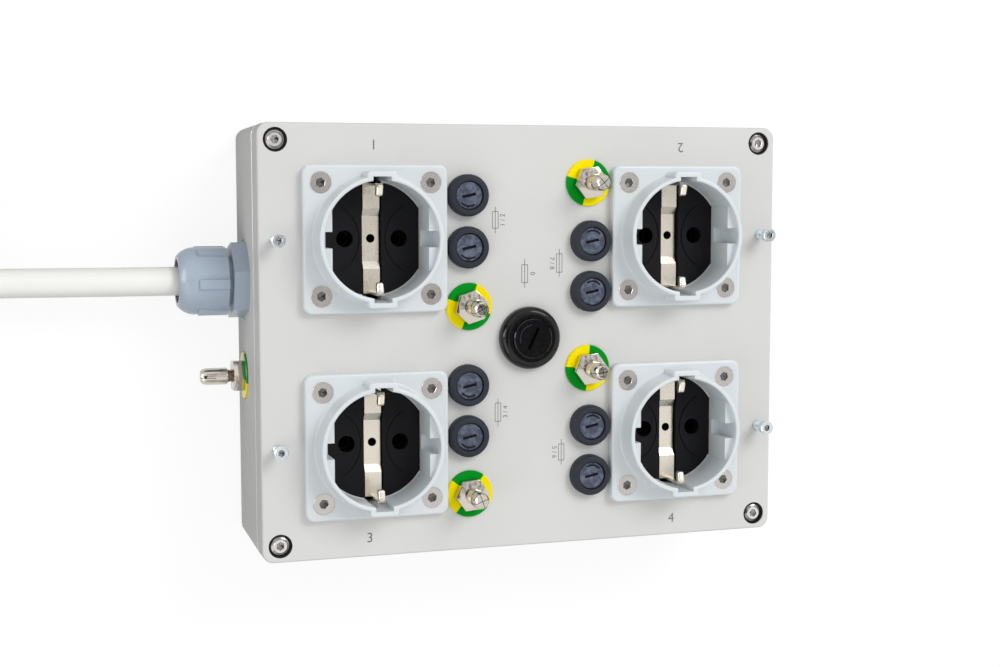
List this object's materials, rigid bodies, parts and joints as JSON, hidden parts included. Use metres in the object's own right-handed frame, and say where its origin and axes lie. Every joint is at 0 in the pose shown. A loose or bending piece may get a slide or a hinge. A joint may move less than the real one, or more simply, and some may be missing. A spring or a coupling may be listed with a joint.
{
  "type": "medical power distribution box",
  "caption": "Flat metal mains distribution box with earthed round sockets, panel fuses, bonding pins and a white supply cable through a side gland.",
  "frame": {"origin": "middle of the case's flat back face, which lies on the surface", "axes": "+X to the right of the panel, along the case's long side; +Y up the panel; +Z out of the panel, away from the back face"},
  "size_m": [0.4175, 0.2097, 0.0659],
  "materials": {
    "case_aluminium": "satin",
    "black_rubber": "matt",
    "stainless_steel": "satin",
    "socket_light_plastic": "satin",
    "socket_black_plastic": "satin",
    "nickel_silver": "bright",
    "zinc_steel": "bright zinc",
    "brass": "plain",
    "fuse_holder_grey": "satin",
    "fuse_cap_slate": "satin",
    "fuse_glass": "clear",
    "gloss_black": "gloss",
    "bond_nickel": "nickel",
    "bond_disc_plastic": "satin",
    "gland_grey": "satin",
    "cable_white": "satin",
    "tie_black": "woven",
    "plug_nickel": "nickel",
    "wire_brown": "satin",
    "wire_green": "satin"
  },
  "bodies": {
    "case": {"base_box": "case_aluminium", "bonding_discs": "bond_disc_plastic", "bonding_pins": "bond_nickel", "cable_coil": "cable_white", "cable_end": "cable_white", "cable_run": "cable_white", "cable_tail": "cable_white", "coil_tie": "tie_black", "earth_wires": "wire_green", "fuse_holders": "fuse_holder_grey", "fuse_nuts": "fuse_holder_grey", "fuse_tails": "brass", "gland_body": "gland_grey", "gland_cap": "gland_grey", "gland_seal": "black_rubber", "lid": "case_aluminium", "lid_gasket": "black_rubber", "lid_screw_seals": "black_rubber", "lid_screws": "stainless_steel", "locknuts": "bond_nickel", "main_fuse_holder": "gloss_black", "plug_body": "cable_white", "plug_pins": "plug_nickel", "socket_1_earth_strip": "nickel_silver", "socket_1_insert": "socket_black_plastic", "socket_1_shell": "socket_light_plastic", "socket_2_earth_strip": "nickel_silver", "socket_2_insert": "socket_black_plastic", "socket_2_shell": "socket_light_plastic", "socket_3_earth_strip": "nickel_silver", "socket_3_insert": "socket_black_plastic", "socket_3_shell": "socket_light_plastic", "socket_4_earth_strip": "nickel_silver", "socket_4_insert": "socket_black_plastic", "socket_4_shell": "socket_light_plastic", "socket_contacts": "brass", "socket_screws": "stainless_steel", "supply_wires": "wire_brown"},
    "fuse_link_1": {"fuse_link_1": "fuse_glass"},
    "fuse_cap_1": {"fuse_cap_1": "fuse_cap_slate"},
    "fuse_link_2": {"fuse_link_2": "fuse_glass"},
    "fuse_cap_2": {"fuse_cap_2": "fuse_cap_slate"},
    "fuse_link_3": {"fuse_link_3": "fuse_glass"},
    "fuse_cap_3": {"fuse_cap_3": "fuse_cap_slate"},
    "fuse_link_4": {"fuse_link_4": "fuse_glass"},
    "fuse_cap_4": {"fuse_cap_4": "fuse_cap_slate"},
    "fuse_link_5": {"fuse_link_5": "fuse_glass"},
    "fuse_cap_5": {"fuse_cap_5": "fuse_cap_slate"},
    "fuse_link_6": {"fuse_link_6": "fuse_glass"},
    "fuse_cap_6": {"fuse_cap_6": "fuse_cap_slate"},
    "fuse_link_7": {"fuse_link_7": "fuse_glass"},
    "fuse_cap_7": {"fuse_cap_7": "fuse_cap_slate"},
    "fuse_link_8": {"fuse_link_8": "fuse_glass"},
    "fuse_cap_8": {"fuse_cap_8": "fuse_cap_slate"},
    "main_fuse_link": {"main_fuse_link": "fuse_glass"},
    "main_fuse_cap": {"main_fuse_cap": "gloss_black"},
    "stand_screw_1": {"stand_screw_1": "zinc_steel"},
    "stand_screw_2": {"stand_screw_2": "zinc_steel"},
    "stand_screw_3": {"stand_screw_3": "zinc_steel"},
    "stand_screw_4": {"stand_screw_4": "zinc_steel"}
  },
  "joints": [
    {"name": "fuse_1_pull", "type": "slide", "parent": "case", "child": "fuse_link_1", "axis": [0, 0, 1], "range_m": [0, 0.03]},
    {"name": "fuse_1_turn", "type": "hinge", "parent": "fuse_link_1", "child": "fuse_cap_1", "pos_m": [-0.0227, 0.0499, 0.05], "axis": [0, 0, 1], "range_deg": [0, 90]},
    {"name": "fuse_2_pull", "type": "slide", "parent": "case", "child": "fuse_link_2", "axis": [0, 0, 1], "range_m": [0, 0.03]},
    {"name": "fuse_2_turn", "type": "hinge", "parent": "fuse_link_2", "child": "fuse_cap_2", "pos_m": [-0.0227, 0.032, 0.05], "axis": [0, 0, 1], "range_deg": [0, 90]},
    {"name": "fuse_3_pull", "type": "slide", "parent": "case", "child": "fuse_link_3", "axis": [0, 0, 1], "range_m": [0, 0.03]},
    {"name": "fuse_3_turn", "type": "hinge", "parent": "fuse_link_3", "child": "fuse_cap_3", "pos_m": [-0.0227, -0.01589, 0.05], "axis": [0, 0, 1], "range_deg": [0, 90]},
    {"name": "fuse_4_pull", "type": "slide", "parent": "case", "child": "fuse_link_4", "axis": [0, 0, 1], "range_m": [0, 0.03]},
    {"name": "fuse_4_turn", "type": "hinge", "parent": "fuse_link_4", "child": "fuse_cap_4", "pos_m": [-0.0227, -0.03374, 0.05], "axis": [0, 0, 1], "range_deg": [0, 90]},
    {"name": "fuse_5_pull", "type": "slide", "parent": "case", "child": "fuse_link_5", "axis": [0, 0, 1], "range_m": [0, 0.03]},
    {"name": "fuse_5_turn", "type": "hinge", "parent": "fuse_link_5", "child": "fuse_cap_5", "pos_m": [0.0227, -0.0499, 0.05], "axis": [0, 0, 1], "range_deg": [0, 90]},
    {"name": "fuse_6_pull", "type": "slide", "parent": "case", "child": "fuse_link_6", "axis": [0, 0, 1], "range_m": [0, 0.03]},
    {"name": "fuse_6_turn", "type": "hinge", "parent": "fuse_link_6", "child": "fuse_cap_6", "pos_m": [0.0227, -0.032, 0.05], "axis": [0, 0, 1], "range_deg": [0, 90]},
    {"name": "fuse_7_pull", "type": "slide", "parent": "case", "child": "fuse_link_7", "axis": [0, 0, 1], "range_m": [0, 0.03]},
    {"name": "fuse_7_turn", "type": "hinge", "parent": "fuse_link_7", "child": "fuse_cap_7", "pos_m": [0.0227, 0.01589, 0.05], "axis": [0, 0, 1], "range_deg": [0, 90]},
    {"name": "fuse_8_pull", "type": "slide", "parent": "case", "child": "fuse_link_8", "axis": [0, 0, 1], "range_m": [0, 0.03]},
    {"name": "fuse_8_turn", "type": "hinge", "parent": "fuse_link_8", "child": "fuse_cap_8", "pos_m": [0.0227, 0.03374, 0.05], "axis": [0, 0, 1], "range_deg": [0, 90]},
    {"name": "main_fuse_pull", "type": "slide", "parent": "case", "child": "main_fuse_link", "axis": [0, 0, 1], "range_m": [0, 0.036]},
    {"name": "main_fuse_turn", "type": "hinge", "parent": "main_fuse_link", "child": "main_fuse_cap", "pos_m": [0, 0, 0.05], "axis": [0, 0, 1], "range_deg": [0, 90]},
    {"name": "stand_screw_1_travel", "type": "slide", "parent": "case", "child": "stand_screw_1", "axis": [0, 0, 1], "range_m": [-0.0055, 0]},
    {"name": "stand_screw_2_travel", "type": "slide", "parent": "case", "child": "stand_screw_2", "axis": [0, 0, 1], "range_m": [-0.0055, 0]},
    {"name": "stand_screw_3_travel", "type": "slide", "parent": "case", "child": "stand_screw_3", "axis": [0, 0, 1], "range_m": [-0.0055, 0]},
    {"name": "stand_screw_4_travel", "type": "slide", "parent": "case", "child": "stand_screw_4", "axis": [0, 0, 1], "range_m": [-0.0055, 0]}
  ]
}
